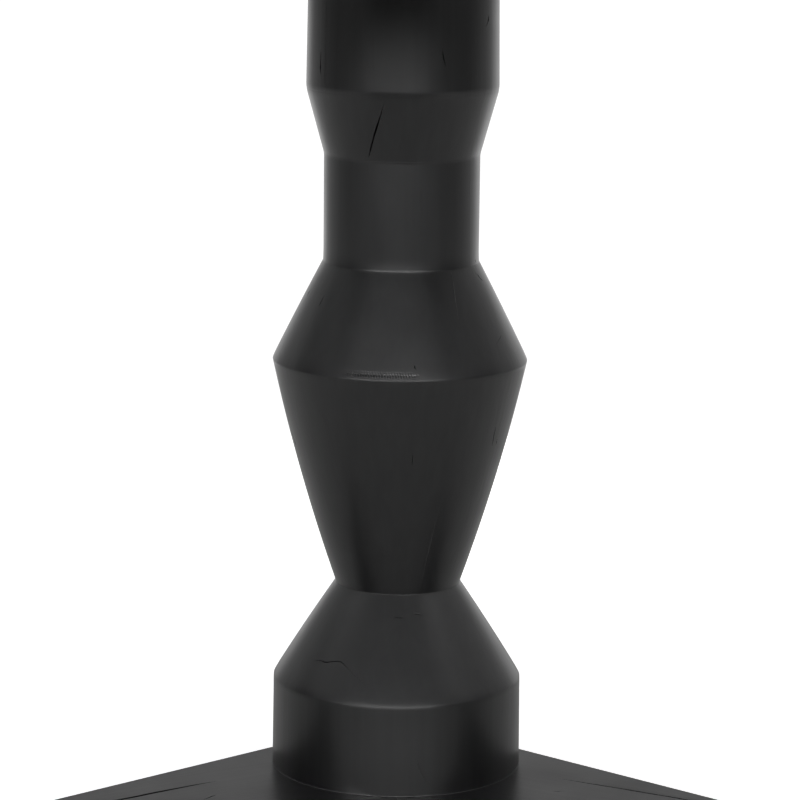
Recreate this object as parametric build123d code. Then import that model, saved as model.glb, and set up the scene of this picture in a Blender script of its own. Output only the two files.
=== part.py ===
"""A round pedestal table: a top of edge-glued boards on a stack of turned wooden blocks, on a three-armed foot.

Millimetres. The origin is on the floor under the middle of the column, +Z is up, +X is to the right and
+Y points along the back arm of the foot. A steel tie rod pulls the column together, from a hub plate let in
under the foot to a boss under the top's mounting plate. Three levelling feet screw into the arms.
"""

import math
import os

from build123d import *

os.makedirs("parts", exist_ok=True)

# Foot: three arms, mitred together at the axis.
FLOOR_GAP = 8.0  # from the floor to the underside of the arms
ARM_THICK = 44.0
ARM_TIP_RADIUS = 370.0  # from the axis to the cut-off tip
NOTCH_RADIUS = 99.5  # from the axis to the inner corner between two arms
ARM_TAPER = 11.0  # degrees, each side of an arm
TIP_CORNER = 6.0
ARM_EASE = 1.2
ARM_ANGLES = {"left": 210.0, "right": 330.0, "back": 90.0}
HALF_MITRE = 60.0  # degrees, each side of an arm

# Loose splines across the three mitres.
SPLINE_LENGTH = 52.0
SPLINE_WIDTH = 32.0
SPLINE_THICK = 8.0
SPLINE_RADIUS = 57.0  # from the axis to the middle of a spline
SPLINE_ABOVE_PLATE = 14.0
SPLINE_ANGLES = {"front": 270.0, "left": 150.0, "right": 30.0}

# Column, from the foot upwards: bottom radius, top radius and height of each turned block, and how far its side
# swells out past a straight line.
BLOCKS = (
    ("drum", 104.1, 103.4, 75.8, 0.0),
    ("lower_cone", 103.4, 51.9, 80.8, 0.7),
    ("long_cone", 51.9, 105.2, 188.7, 3.1),
    ("upper_cone", 105.2, 63.8, 82.1, 0.4),
    ("neck", 63.8, 63.9, 87.8, 0.0),
    ("swell", 63.9, 78.7, 53.4, 0.0),
    ("head", 78.7, 77.1, 103.4, 0.0),
)
TENON_RADIUS = 24.0
TENON_LENGTH = 18.0
SOCKET_PLAY = 0.2
SOCKET_SPARE = 1.0  # room for glue past the end of a tenon
BLOCK_EASE = 1.0

# Tie rod, M12: a countersunk head in the hub plate, and a threaded boss at the other end.
ROD_RADIUS = 6.0
ROD_HOLE_RADIUS = 7.5
ROD_HEAD_RADIUS = 12.0
ROD_HEAD_LIP = 0.8
ROD_HEAD_HEIGHT = 5.5
ROD_SOCKET_ACROSS_FLATS = 8.0
ROD_SOCKET_DEPTH = 4.0
BOSS_RADIUS = 16.0
BOSS_HEIGHT = 40.0
ROD_IN_BOSS = 30.0
BOSS_FLOOR = 5.0
THREAD_PLAY = 0.05
THREAD_END = 1.0  # the chamfer at the end of a thread

# Hub plate, let in flush under the foot.
HUB_RADIUS = 84.0
HUB_THICK = 6.0
HUB_SCREW_CIRCLE = 70.0
HUB_SCREW_COUNT = 6
HUB_SCREW_LENGTH = 32.0

# Top: round, of boards that run along X.
TOP_RADIUS = 400.0
TOP_THICK = 38.0
BOARD_COUNT = 9
BEVEL_IN = 30.0
BEVEL_UP = 18.0
RIM_EASE = 1.5

# Mounting plate under the top.
PLATE_RADIUS = 130.0
PLATE_THICK = 5.0
PLATE_SCREW_CIRCLE = 108.0
PLATE_SCREW_COUNT = 8
PLATE_SCREW_START = 22.5
PLATE_SCREW_LENGTH = 32.0
HEAD_SCREW_CIRCLE = 48.0
HEAD_SCREW_COUNT = 3
HEAD_SCREW_START = 30.0
HEAD_SCREW_LENGTH = 35.0

# Steel channels that keep the top flat, across the boards.
CHANNEL_X = 235.0
CHANNEL_LENGTH = 480.0
CHANNEL_WIDTH = 38.0
CHANNEL_DEPTH = 12.0
CHANNEL_WALL = 3.0
CHANNEL_SCREW_PITCH = 110.0
CHANNEL_SCREW_COUNT = 5
CHANNEL_SCREW_LENGTH = 24.0

# Countersunk wood screws with a hexagonal socket.
SCREW_HEAD_RADIUS = 5.0
SCREW_HEAD_LIP = 0.4
SCREW_HEAD_HEIGHT = 3.0
SCREW_RADIUS = 2.5
SCREW_TIP = 5.0
SCREW_TIP_RADIUS = 0.2
SOCKET_ACROSS_FLATS = 3.0
SOCKET_DEPTH = 1.8
SCREW_PLAY = 0.1

# Levelling feet, M8.
LEVELLER_RADIUS = 325.0  # from the axis
STEM_RADIUS = 4.0
STEM_LENGTH = 30.0
COLLAR_ACROSS_FLATS = 13.0
COLLAR_GAP = 0.1
PAD_RADIUS = 16.0
PAD_TOP_RADIUS = 13.5
PAD_HEIGHT = 5.0
PAD_FLOOR = 1.5
PAD_EASE = 0.8
STEM_DISC_RADIUS = 6.2
STEM_DISC_HEIGHT = 2.2
PAD_PLAY = 0.15
INSERT_RADIUS = 7.0
INSERT_FLANGE_RADIUS = 9.0
INSERT_FLANGE_THICK = 1.5
INSERT_LENGTH = 20.0
INSERT_PLAY = 0.05
INSERT_END_PLAY = 0.2
FLANGE_PLAY = 0.1
STEM_HOLE_PLAY = 1.0
STEM_HOLE_SPARE = 2.0

RECESS_PLAY = 0.5
CUT_PAST = 1.0  # how far a cutting tool runs past a face
NEAR = 0.01  # closer than this counts as the same height

FOOT_TOP = FLOOR_GAP + ARM_THICK
COLUMN_TOP = FOOT_TOP + sum(block[3] for block in BLOCKS)
TABLE_HEIGHT = COLUMN_TOP + TOP_THICK
HUB_TOP = FLOOR_GAP + HUB_THICK
ROD_HIGH = COLUMN_TOP - BOSS_HEIGHT + ROD_IN_BOSS
BOARD_WIDTH = 2 * TOP_RADIUS / BOARD_COUNT


def turned(*points):
    """A solid turned about Z from an outline of (radius, height) points."""
    outline = Polyline(*[(r, 0, z) for r, z in points], close=True)
    return revolve(make_face(outline), Axis.Z)


def cylinder(radius, low, high):
    """An upright cylinder on the axis, from one height to another."""
    return Pos(0, 0, low) * extrude(Circle(radius), high - low)


def hexagon(across_flats, low, high):
    """An upright hexagonal prism on the axis."""
    return Pos(0, 0, low) * extrude(RegularPolygon(across_flats / 2, 6, major_radius=False), high - low)


def on_circle(shape, radius, count, start=0.0):
    """Copies of a shape, evenly spaced round a circle."""
    return [Rot(0, 0, start + 360 / count * i) * Pos(radius, 0, 0) * shape for i in range(count)]


def screw(length, play=0.0):
    """A countersunk wood screw pointing up, its head flush with Z = 0; with play, the hole for it."""
    head = SCREW_HEAD_RADIUS + play
    shank = SCREW_RADIUS + play
    below = -play if play else 0.0
    body = turned(
        (0, below),
        (head, below),
        (head, SCREW_HEAD_LIP),
        (shank, SCREW_HEAD_HEIGHT),
        (shank, length - SCREW_TIP + play),
        (SCREW_TIP_RADIUS + play, length + play),
        (0, length + play),
    )
    if play:
        return body
    return body - hexagon(SOCKET_ACROSS_FLATS, -CUT_PAST, SOCKET_DEPTH)


def save(name, shape):
    """Write one node, as one solid or as a group of separate solids."""
    if isinstance(shape, list):
        shape = Compound(children=shape)
    export_step(shape, f"parts/{name}.step")


def hub_screw_places(shape):
    """Screws from the underside of the hub plate up into the arms."""
    return [Pos(0, 0, FLOOR_GAP) * s for s in on_circle(shape, HUB_SCREW_CIRCLE, HUB_SCREW_COUNT)]


def spline(angle, play=0.0):
    """A loose spline across a mitre; with play, the mortise for it."""
    low = HUB_TOP + SPLINE_ABOVE_PLATE - play
    block = Box(
        SPLINE_LENGTH + 2 * play,
        SPLINE_WIDTH + 2 * play,
        SPLINE_THICK + 2 * play,
        align=(Align.CENTER, Align.CENTER, Align.MIN),
    )
    return Rot(0, 0, angle) * Pos(SPLINE_RADIUS, 0, low) * block


def arm(angle):
    """One arm of the foot, with its wedge at the axis and everything that is cut into it."""
    along = NOTCH_RADIUS * math.cos(math.radians(HALF_MITRE))
    across = NOTCH_RADIUS * math.sin(math.radians(HALF_MITRE))
    tip = across - (ARM_TIP_RADIUS - along) * math.tan(math.radians(ARM_TAPER))
    outline = Polyline(
        (0, 0), (along, -across), (ARM_TIP_RADIUS, -tip), (ARM_TIP_RADIUS, tip), (along, across), close=True
    )
    blank = Pos(0, 0, FLOOR_GAP) * extrude(make_face(outline), ARM_THICK)
    tip_edges = blank.edges().filter_by(Axis.Z).sort_by(Axis.X)[-2:]
    blank = fillet(tip_edges, TIP_CORNER)
    top_edges = [edge for edge in blank.edges() if abs(edge.center().Z - FOOT_TOP) < NEAR]
    outer = [edge for edge in top_edges if edge.center().X > along]
    blank = chamfer(outer, ARM_EASE)
    insert_hole = cylinder(INSERT_RADIUS, FLOOR_GAP - CUT_PAST, FLOOR_GAP + INSERT_LENGTH)
    insert_hole += cylinder(INSERT_FLANGE_RADIUS, FLOOR_GAP - CUT_PAST, FLOOR_GAP + INSERT_FLANGE_THICK)
    stem_hole = cylinder(STEM_RADIUS + STEM_HOLE_PLAY, FLOOR_GAP, FLOOR_GAP + STEM_LENGTH + STEM_HOLE_SPARE)
    blank -= Pos(LEVELLER_RADIUS, 0, 0) * (insert_hole + stem_hole)
    blank = Rot(0, 0, angle) * blank
    blank -= cylinder(HUB_RADIUS + RECESS_PLAY, FLOOR_GAP - CUT_PAST, HUB_TOP)
    blank -= cylinder(ROD_HOLE_RADIUS, FLOOR_GAP, FOOT_TOP + CUT_PAST)
    for side in (-HALF_MITRE, HALF_MITRE):
        blank -= spline(angle + side, SOCKET_PLAY)
    for hole in hub_screw_places(screw(HUB_SCREW_LENGTH, SCREW_PLAY)):
        blank -= hole
    return blank


def rod_shape(play=0.0):
    """The tie rod's outline turned; with play, the hole for it."""
    head = ROD_HEAD_RADIUS + play
    shank = ROD_RADIUS + play
    return turned(
        (0, FLOOR_GAP - play),
        (head, FLOOR_GAP - play),
        (head, FLOOR_GAP + ROD_HEAD_LIP),
        (shank, FLOOR_GAP + ROD_HEAD_HEIGHT + play),
        (shank, ROD_HIGH - THREAD_END),
        (shank - THREAD_END, ROD_HIGH),
        (0, ROD_HIGH),
    )


def hub_plate():
    """The steel plate that ties the three arms together from below."""
    plate = cylinder(HUB_RADIUS, FLOOR_GAP, HUB_TOP) - rod_shape(SOCKET_PLAY)
    for hole in hub_screw_places(screw(HUB_SCREW_LENGTH, SCREW_PLAY)):
        plate -= hole
    return plate


def column_block(index):
    """One turned block, with a tenon on top, a socket below and the tie rod's bore through it."""
    name, low_radius, high_radius, height, belly = BLOCKS[index]
    low = FOOT_TOP + sum(block[3] for block in BLOCKS[:index])
    high = low + height
    first = index == 0
    last = index == len(BLOCKS) - 1
    start = (low_radius, 0, low + BLOCK_EASE if first else low)
    end = (high_radius, 0, high)
    middle = ((start[0] + end[0]) / 2 + belly, 0, (start[2] + end[2]) / 2)
    side = ThreePointArc(start, middle, end) if belly else Line(start, end)
    rest = [end, (0, 0, high), (0, 0, low)]
    if first:
        rest.append((low_radius - BLOCK_EASE, 0, low))
    outline = side + Polyline(*rest, start)
    block = revolve(make_face(outline), Axis.Z)
    if not last:
        block += cylinder(TENON_RADIUS, high, high + TENON_LENGTH)
    if not first:
        block -= cylinder(TENON_RADIUS + SOCKET_PLAY, low - CUT_PAST, low + TENON_LENGTH + SOCKET_SPARE)
    block -= cylinder(ROD_HOLE_RADIUS, low - CUT_PAST, high + TENON_LENGTH + CUT_PAST)
    if last:
        block -= cylinder(BOSS_RADIUS + SOCKET_PLAY, high - BOSS_HEIGHT - SOCKET_SPARE, high + CUT_PAST)
        for hole in head_screw_places(screw(HEAD_SCREW_LENGTH, SCREW_PLAY)):
            block -= hole
    return block


def head_screw_places(shape):
    """Screws from the top of the mounting plate down into the head block."""
    down = Pos(0, 0, COLUMN_TOP + PLATE_THICK) * Rot(180, 0, 0) * shape
    return on_circle(down, HEAD_SCREW_CIRCLE, HEAD_SCREW_COUNT, HEAD_SCREW_START)


def plate_screw_places(shape):
    """Screws from the underside of the mounting plate up into the boards."""
    return on_circle(Pos(0, 0, COLUMN_TOP) * shape, PLATE_SCREW_CIRCLE, PLATE_SCREW_COUNT, PLATE_SCREW_START)


def mounting_plate():
    """The steel disc between the column and the top, let into the boards."""
    plate = cylinder(PLATE_RADIUS, COLUMN_TOP, COLUMN_TOP + PLATE_THICK)
    holes = head_screw_places(screw(HEAD_SCREW_LENGTH, SCREW_PLAY))
    holes += plate_screw_places(screw(PLATE_SCREW_LENGTH, SCREW_PLAY))
    for hole in holes:
        plate -= hole
    return plate


def channel(side, play=0.0):
    """A C-shaped steel channel, its web flush with the underside of the top; with play, the groove for it."""
    half = CHANNEL_WIDTH / 2 + play
    inner = CHANNEL_WIDTH / 2 - CHANNEL_WALL - play
    low = -CUT_PAST if play else 0.0
    web = CHANNEL_WALL + play
    deep = CHANNEL_DEPTH + play
    outline = Polyline(
        (-half, 0, low),
        (half, 0, low),
        (half, 0, deep),
        (inner, 0, deep),
        (inner, 0, web),
        (-inner, 0, web),
        (-inner, 0, deep),
        (-half, 0, deep),
        close=True,
    )
    long = CHANNEL_LENGTH + 2 * play
    bar = extrude(make_face(outline), long / 2, dir=(0, 1, 0), both=True)
    return Pos(side * CHANNEL_X, 0, COLUMN_TOP) * bar


def channel_screw_places(side, shape):
    """A row of screws along a channel."""
    first = -(CHANNEL_SCREW_COUNT - 1) / 2 * CHANNEL_SCREW_PITCH
    return [
        Pos(side * CHANNEL_X, first + CHANNEL_SCREW_PITCH * i, COLUMN_TOP) * shape
        for i in range(CHANNEL_SCREW_COUNT)
    ]


def whole_top():
    """The round top before it is divided into boards, with its recesses and screw holes."""
    rim = TOP_RADIUS
    top = turned(
        (0, COLUMN_TOP),
        (rim - BEVEL_IN, COLUMN_TOP),
        (rim, COLUMN_TOP + BEVEL_UP),
        (rim, TABLE_HEIGHT - RIM_EASE),
        (rim - RIM_EASE, TABLE_HEIGHT),
        (0, TABLE_HEIGHT),
    )
    top -= cylinder(PLATE_RADIUS + RECESS_PLAY, COLUMN_TOP - CUT_PAST, COLUMN_TOP + PLATE_THICK)
    for hole in plate_screw_places(screw(PLATE_SCREW_LENGTH, SCREW_PLAY)):
        top -= hole
    for side in (-1, 1):
        top -= channel(side, SOCKET_PLAY)
        for hole in channel_screw_places(side, screw(CHANNEL_SCREW_LENGTH, SCREW_PLAY)):
            top -= hole
    return top


def board(top, index):
    """One board of the top, counted from the front."""
    low = -TOP_RADIUS + BOARD_WIDTH * index
    past = 2 * CUT_PAST
    size = (2 * TOP_RADIUS + past, BOARD_WIDTH, TOP_THICK + past)
    slab = Pos(0, low, COLUMN_TOP - CUT_PAST) * Box(*size, align=(Align.CENTER, Align.MIN, Align.MIN))
    return top & slab


def leveller_insert():
    """A flanged brass insert with an M8 thread, stood in for by a plain bore."""
    flange_high = FLOOR_GAP + INSERT_FLANGE_THICK - FLANGE_PLAY
    insert = cylinder(INSERT_RADIUS - INSERT_PLAY, FLOOR_GAP, FLOOR_GAP + INSERT_LENGTH - INSERT_END_PLAY)
    insert += cylinder(INSERT_FLANGE_RADIUS - FLANGE_PLAY, FLOOR_GAP, flange_high)
    return insert - cylinder(STEM_RADIUS + THREAD_PLAY, FLOOR_GAP - CUT_PAST, FLOOR_GAP + INSERT_LENGTH)


def leveller_stem():
    """The threaded stem, with the collar a spanner turns and the disc that the pad holds."""
    disc_low = PAD_FLOOR + PAD_PLAY
    collar_low = PAD_HEIGHT + PAD_PLAY
    collar_high = FLOOR_GAP - COLLAR_GAP
    stem_high = FLOOR_GAP + STEM_LENGTH
    stem = cylinder(STEM_DISC_RADIUS, disc_low, disc_low + STEM_DISC_HEIGHT)
    stem += cylinder(STEM_RADIUS, disc_low, stem_high - THREAD_END)
    stem += turned(
        (0, stem_high - THREAD_END),
        (STEM_RADIUS, stem_high - THREAD_END),
        (STEM_RADIUS - THREAD_END, stem_high),
        (0, stem_high),
    )
    return stem + hexagon(COLLAR_ACROSS_FLATS, collar_low, collar_high)


def leveller_pad():
    """The nylon pad on the floor; its lip closes over the stem's disc."""
    pad = turned(
        (0, 0),
        (PAD_RADIUS - PAD_EASE, 0),
        (PAD_RADIUS, PAD_EASE),
        (PAD_TOP_RADIUS, PAD_HEIGHT),
        (0, PAD_HEIGHT),
    )
    room_high = PAD_FLOOR + STEM_DISC_HEIGHT + 2 * PAD_PLAY
    pad -= cylinder(STEM_DISC_RADIUS + PAD_PLAY, PAD_FLOOR, room_high)
    return pad - cylinder(STEM_RADIUS + PAD_PLAY, room_high - CUT_PAST, PAD_HEIGHT + CUT_PAST)


# The foot.
for name, angle in ARM_ANGLES.items():
    save(f"foot_arm_{name}", arm(angle))
for name, angle in SPLINE_ANGLES.items():
    save(f"foot_spline_{name}", spline(angle))
save("hub_plate", hub_plate())
save("hub_screws", hub_screw_places(screw(HUB_SCREW_LENGTH)))

# The column.
for index, block in enumerate(BLOCKS):
    save(f"column_{block[0]}", column_block(index))

# The tie rod and the boss it screws into.
socket = hexagon(ROD_SOCKET_ACROSS_FLATS, FLOOR_GAP - CUT_PAST, FLOOR_GAP + ROD_SOCKET_DEPTH)
save("tie_rod", rod_shape() - socket)
boss = cylinder(BOSS_RADIUS, COLUMN_TOP - BOSS_HEIGHT, COLUMN_TOP)
save("rod_boss", boss - cylinder(ROD_RADIUS + THREAD_PLAY, FOOT_TOP, COLUMN_TOP - BOSS_FLOOR))

# The top.
top = whole_top()
for index in range(BOARD_COUNT):
    save(f"top_board_{index + 1}", board(top, index))
save("mounting_plate", mounting_plate())
save("mounting_plate_screws", plate_screw_places(screw(PLATE_SCREW_LENGTH)))
save("head_screws", head_screw_places(screw(HEAD_SCREW_LENGTH)))
for name, side in (("left", -1), ("right", 1)):
    bar = channel(side)
    for hole in channel_screw_places(side, screw(CHANNEL_SCREW_LENGTH, SCREW_PLAY)):
        bar -= hole
    save(f"stiffener_{name}", bar)
channel_screw = screw(CHANNEL_SCREW_LENGTH)
save("stiffener_screws", channel_screw_places(-1, channel_screw) + channel_screw_places(1, channel_screw))

# The levelling feet, screwed right in.
for name, angle in ARM_ANGLES.items():
    place = Rot(0, 0, angle) * Pos(LEVELLER_RADIUS, 0, 0)
    save(f"leveller_insert_{name}", place * leveller_insert())
    save(f"leveller_stem_{name}", place * leveller_stem())
    save(f"leveller_pad_{name}", place * leveller_pad())
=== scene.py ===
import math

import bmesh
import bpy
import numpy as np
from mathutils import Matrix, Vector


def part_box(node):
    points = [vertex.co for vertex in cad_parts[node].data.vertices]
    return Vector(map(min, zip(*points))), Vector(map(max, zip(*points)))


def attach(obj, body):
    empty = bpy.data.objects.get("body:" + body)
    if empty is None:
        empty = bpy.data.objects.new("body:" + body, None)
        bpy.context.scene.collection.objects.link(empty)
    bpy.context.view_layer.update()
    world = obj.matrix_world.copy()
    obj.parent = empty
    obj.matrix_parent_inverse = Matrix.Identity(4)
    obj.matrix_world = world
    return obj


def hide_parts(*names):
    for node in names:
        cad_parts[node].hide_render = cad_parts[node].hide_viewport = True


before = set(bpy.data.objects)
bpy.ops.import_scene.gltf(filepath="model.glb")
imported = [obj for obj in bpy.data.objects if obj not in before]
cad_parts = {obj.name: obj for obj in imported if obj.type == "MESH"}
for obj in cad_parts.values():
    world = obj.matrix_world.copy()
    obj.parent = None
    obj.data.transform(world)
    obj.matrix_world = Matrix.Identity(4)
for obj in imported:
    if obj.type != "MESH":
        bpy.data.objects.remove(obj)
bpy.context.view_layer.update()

# A round pedestal table in ebonised wood. The column is a stack of turned blocks with the fine drying checks
# of solid wood; the foot is three arms mitred together; the top is edge-glued boards.
# Metres, as in the frame; a size written in millimetres is multiplied by MM.
# Bearings on the column are degrees from the front, positive to the right; heights are above the foot.

MM = 0.001
BODY = "table"
rng = np.random.default_rng(11)


# ---------------------------------------------------------------- colours and nodes

def tone(code):
    """An sRGB hex colour as the linear colour that a shader takes."""
    parts = [int(code[i:i + 2], 16) / 255 for i in (1, 3, 5)]
    return [c / 12.92 if c <= 0.04045 else ((c + 0.055) / 1.055) ** 2.4 for c in parts] + [1.0]


def add_node(tree, kind, inputs=None, out=0, **settings):
    """Add a node with its settings; each input is a constant or another node's output. Gives one output."""
    node = tree.nodes.new(kind)
    for key, value in settings.items():
        setattr(node, key, value)
    for key, value in (inputs or {}).items():
        if isinstance(value, bpy.types.NodeSocket):
            tree.links.new(value, node.inputs[key])
        else:
            node.inputs[key].default_value = value
    return node.outputs[out] if node.outputs else node


class Finish:
    """A material being made up: one surface shader and the patterns that drive it."""

    def __init__(self, name, colour, roughness, metallic=0.0, **constants):
        self.material = bpy.data.materials.new(name)
        self.material.use_nodes = True
        self.tree = self.material.node_tree
        self.tree.nodes.clear()
        surface = {"Base Color": tone(colour), "Roughness": roughness, "Metallic": metallic, **constants}
        shade = add_node(self.tree, "ShaderNodeBsdfPrincipled", surface)
        self.surface = shade.node
        add_node(self.tree, "ShaderNodeOutputMaterial", {"Surface": shade})
        self.place = add_node(self.tree, "ShaderNodeTexCoord", out="Object")
        self.relief = None

    def add(self, kind, inputs=None, out=0, **settings):
        """Add one node to this material."""
        return add_node(self.tree, kind, inputs, out, **settings)

    def cells(self, x, y, z):
        """Places on the piece, with one unit for every x, y and z millimetres."""
        scale = [1 / (size * MM) for size in (x, y, z)]
        return self.add("ShaderNodeMapping", {"Vector": self.place, "Scale": scale})

    def drive(self, socket, output):
        """Let a pattern set one of the surface's values."""
        self.tree.links.new(output, self.surface.inputs[socket])

    def spread(self, value, low, high, start=0.3, end=0.7):
        """A pattern's value, from start to end, as a number from low to high."""
        return self.add("ShaderNodeMapRange", {0: value, 1: start, 2: end, 3: low, 4: high})

    def colour_between(self, value, dark, light):
        """Blend two colours by a pattern."""
        colours = {0: value, 6: tone(dark), 7: tone(light)}
        self.drive("Base Color", self.add("ShaderNodeMix", colours, out=2, data_type="RGBA"))

    def raise_by(self, height, millimetres, strength=1.0):
        """Add a pattern's relief, of so many millimetres, to the surface."""
        inputs = {"Height": height, "Distance": millimetres * MM, "Strength": strength}
        if self.relief:
            inputs["Normal"] = self.relief
        self.relief = self.add("ShaderNodeBump", inputs)
        self.drive("Normal", self.relief)


# ---------------------------------------------------------------- finishes

# The size of one pore and of one streak of figure, in millimetres, for grain along each axis. Real pores are
# a quarter of this width, which would be too fine to show.
PORES = {"X": (24, 0.9, 0.9), "Z": (0.9, 0.9, 24)}
FIGURE = {"X": (210, 8, 8), "Z": (8, 8, 210)}
SLOW_CLOUDS = (60, 60, 60)
TURNING_RINGS = (300, 300, 1.3)


def ebonised(name, grain, turned=False):
    """Ebonised wood under satin lacquer: almost black, a low even sheen, and pores that barely telegraph."""
    finish = Finish(name, "#111112", 0.33, IOR=1.5)
    pores_at = finish.cells(*PORES[grain])
    pores = finish.add("ShaderNodeTexNoise", {"Vector": pores_at, "Scale": 1.0, "Detail": 3.0})
    figure_at = {"Vector": finish.cells(*FIGURE[grain]), "Scale": 1.0, "Detail": 4.0, "Distortion": 0.5}
    figure = finish.add("ShaderNodeTexNoise", figure_at)
    clouds_at = finish.cells(*SLOW_CLOUDS)
    clouds = finish.add("ShaderNodeTexNoise", {"Vector": clouds_at, "Scale": 1.0, "Detail": 3.0})
    finish.colour_between(finish.spread(figure, 0.0, 1.0), "#0e0e0f", "#171718")
    finish.drive("Roughness", finish.spread(clouds, 0.30, 0.36))
    finish.raise_by(pores, 0.06, 0.5)
    finish.raise_by(figure, 0.25, 0.4)
    if turned:
        rings_at = finish.cells(*TURNING_RINGS)
        rings = finish.add("ShaderNodeTexNoise", {"Vector": rings_at, "Scale": 1.0, "Detail": 2.0})
        finish.raise_by(rings, 0.03, 0.5)
    return finish.material


def powder_coat():
    """Mild steel under black powder coat: a fine orange peel that breaks up the sheen."""
    finish = Finish("powder_coated_steel", "#161616", 0.5)
    peel_at = finish.cells(1.4, 1.4, 1.4)
    peel = finish.add("ShaderNodeTexNoise", {"Vector": peel_at, "Scale": 1.0, "Detail": 3.0})
    finish.colour_between(finish.spread(peel, 0.0, 1.0), "#131313", "#1b1b1b")
    finish.drive("Roughness", finish.spread(peel, 0.42, 0.58))
    finish.raise_by(peel, 0.12, 0.6)
    return finish.material


def zinc():
    """Bright zinc plate on cut steel: blue-grey, with a soft shine and fine drawn marks."""
    finish = Finish("zinc_plated_steel", "#b3b8be", 0.32, 1.0)
    marks_at = finish.cells(7, 7, 0.35)
    marks = finish.add("ShaderNodeTexNoise", {"Vector": marks_at, "Scale": 1.0, "Detail": 4.0})
    stains_at = finish.cells(5, 5, 5)
    stains = finish.add("ShaderNodeTexNoise", {"Vector": stains_at, "Scale": 1.0, "Detail": 2.0})
    finish.colour_between(finish.spread(stains, 0.0, 1.0), "#a3a8ae", "#bfc3c8")
    finish.drive("Roughness", finish.spread(marks, 0.25, 0.42))
    finish.raise_by(marks, 0.02, 0.6)
    return finish.material


def brass():
    """Machined brass, a little dulled: warm yellow with fine turning marks."""
    finish = Finish("machined_brass", "#c6a05a", 0.3, 1.0)
    marks_at = finish.cells(8, 8, 0.3)
    marks = finish.add("ShaderNodeTexNoise", {"Vector": marks_at, "Scale": 1.0, "Detail": 3.0})
    finish.colour_between(finish.spread(marks, 0.0, 1.0), "#b28d49", "#d0ac68")
    finish.drive("Roughness", finish.spread(marks, 0.24, 0.4))
    finish.raise_by(marks, 0.02, 0.6)
    return finish.material


def nylon():
    """Black moulded nylon: matt, with the sparked texture of its mould, drawn coarser than life to show."""
    finish = Finish("moulded_nylon", "#1d1d1d", 0.52)
    spark_at = finish.cells(0.6, 0.6, 0.6)
    spark = finish.add("ShaderNodeTexNoise", {"Vector": spark_at, "Scale": 1.0, "Detail": 2.0})
    finish.colour_between(finish.spread(spark, 0.0, 1.0), "#191919", "#232323")
    finish.drive("Roughness", finish.spread(spark, 0.46, 0.6))
    finish.raise_by(spark, 0.04, 0.7)
    return finish.material


def beech():
    """Planed beech, left bare: pale and even, with short darker flecks."""
    finish = Finish("planed_beech", "#c39a6d", 0.6)
    fleck_at = finish.cells(4, 4, 0.9)
    fleck = finish.add("ShaderNodeTexNoise", {"Vector": fleck_at, "Scale": 1.0, "Detail": 3.0})
    finish.colour_between(finish.spread(fleck, 0.0, 1.0), "#a97c50", "#d0a97c")
    finish.raise_by(fleck, 0.05, 0.5)
    return finish.material


EBONISED_COLUMN = ebonised("ebonised_turned_wood", "Z", turned=True)
EBONISED_ARM = ebonised("ebonised_planed_wood", "X")
EBONISED_BOARD = ebonised("ebonised_board", "X")
POWDER_COAT = powder_coat()
ZINC = zinc()
BRASS = brass()
NYLON = nylon()
BEECH = beech()


# ---------------------------------------------------------------- pieces

TURNED_CREASE = 35.0  # degrees; an edge sharper than this stays sharp
PLANED_CREASE = 30.0
THREAD_CREASE = 28.0


def add_piece(name, mesh, material, replaced, body=BODY, place=None, crease=TURNED_CREASE):
    """A new piece of the object, in place of a CAD node, with its finish and its body."""
    piece = bpy.data.objects.new(name, mesh)
    bpy.context.scene.collection.objects.link(piece)
    if place is not None:
        piece.matrix_world = place
    mesh.materials.clear()
    mesh.materials.append(material)
    mesh.shade_smooth()
    mesh.set_sharp_from_angle(angle=math.radians(crease))
    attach(piece, body)
    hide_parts(replaced)


def revolve(name, rings):
    """A closed mesh from rings of points, all of one length, the last joined to the first."""
    count = len(rings[0])
    points = np.concatenate(rings)
    total = len(rings)
    first = np.arange(count)
    after = (first + 1) % count
    faces = []
    for ring in range(total):
        low = ring * count
        high = (ring + 1) % total * count
        faces += np.stack([low + first, low + after, high + after, high + first], 1).tolist()
    mesh = bpy.data.meshes.new(name)
    mesh.from_pydata(points.tolist(), [], faces)
    mesh.validate()
    return mesh


def ring_at(bearings, radius, height):
    """A ring of points round the axis, each at its bearing, radius and height."""
    turn = np.radians(bearings)
    heights = np.broadcast_to(height, turn.shape)
    return np.stack([radius * np.sin(turn), -radius * np.cos(turn), heights], 1)


def wander(count, seed, amount):
    """A slow random line, as grain runs."""
    window = 5
    spare = window - 1
    steps = np.random.default_rng(seed).normal(size=count + 2 * spare)
    smooth = np.convolve(steps, np.ones(window) / window, "same")[spare:spare + count]
    return smooth * amount


def bell(part):
    """One in the middle, nothing at one and beyond, with no corner."""
    return np.clip(1 - part * part, 0, 1) ** 2


def eased(part):
    """From nothing to one, level at both ends."""
    return part * part * (3 - 2 * part)


# ---------------------------------------------------------------- the column's shape

BLOCKS = ("drum", "lower_cone", "long_cone", "upper_cone", "neck", "swell", "head")
TENON_RADIUS = 24 * MM
TENON_LENGTH = 18 * MM
SOCKET_RADIUS = 24.2 * MM
SOCKET_DEPTH = 19 * MM
BORE_RADIUS = 7.5 * MM
BOSS_RADIUS = 16.2 * MM
BOSS_DEPTH = 41 * MM
DRUM_CHAMFER = 1 * MM
ARRIS = 0.06 * MM  # the edge of a joint, broken with a touch of abrasive
BEAD_OUT = 0.2 * MM  # the bead of lacquer where the drum meets the foot
BEAD_HEIGHT = 0.4 * MM

# How far a block's side swells out past a straight line, in millimetres.
BELLY = {"lower_cone": 0.7, "long_cone": 3.1, "upper_cone": 0.4}

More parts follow.
